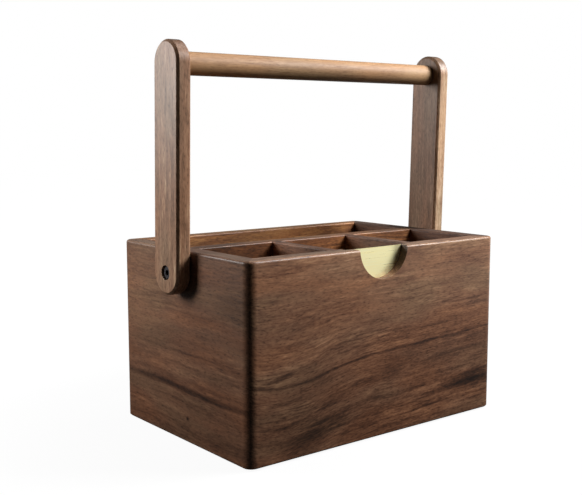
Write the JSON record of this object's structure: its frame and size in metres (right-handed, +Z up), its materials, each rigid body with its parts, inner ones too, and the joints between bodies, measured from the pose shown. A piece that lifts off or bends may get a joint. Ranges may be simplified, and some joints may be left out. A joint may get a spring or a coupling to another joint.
{
  "type": "kitchen caddy with folding handle",
  "caption": "Open walnut caddy box divided for cutlery and kitchen tools, with a half-round brass-backed notch in its front and a carrying handle that folds down on pivot screws.",
  "frame": {"origin": "on the table under the middle of the box, at the bottom of the pads", "axes": "+X to the right along the front, +Y from front to back, +Z up"},
  "size_m": [0.2788, 0.1726, 0.2995],
  "materials": {
    "walnut_case": "satin oil over sanded walnut",
    "walnut_handle": "satin oil over sanded walnut",
    "beech": "sawn, hidden in the joints",
    "brass": "fine satin, lacquered",
    "brass_screws": "plain",
    "black_screw": "black oxide, oiled",
    "zinc_steel": "zinc plated",
    "nylon": "moulded",
    "pad_rubber": "matt"
  },
  "bodies": {
    "case": {"front_panel": "walnut_case", "back_panel": "walnut_case", "left_side_panel": "walnut_case", "right_side_panel": "walnut_case", "base_panel": "walnut_case", "long_divider": "walnut_case", "left_cross_divider": "walnut_case", "right_cross_divider": "walnut_case", "corner_splines": "beech", "notch_plate": "brass", "plate_screws": "brass_screws", "foot_pads": "pad_rubber", "left_pivot_screw": "black_screw", "left_pivot_insert": "zinc_steel", "left_friction_washer": "zinc_steel", "right_pivot_screw": "black_screw", "right_pivot_insert": "zinc_steel", "right_friction_washer": "zinc_steel"},
    "handle": {"left_upright": "walnut_handle", "right_upright": "walnut_handle", "handle_rod": "walnut_handle", "left_pivot_bush": "nylon", "right_pivot_bush": "nylon", "left_thrust_washer": "nylon", "right_thrust_washer": "nylon"}
  },
  "joints": [
    {"name": "handle_fold", "type": "hinge", "parent": "case", "child": "handle", "pos_m": [0, 0, 0.131], "axis": [1, 0, 0], "range_deg": [-140.1, 136.9]}
  ]
}
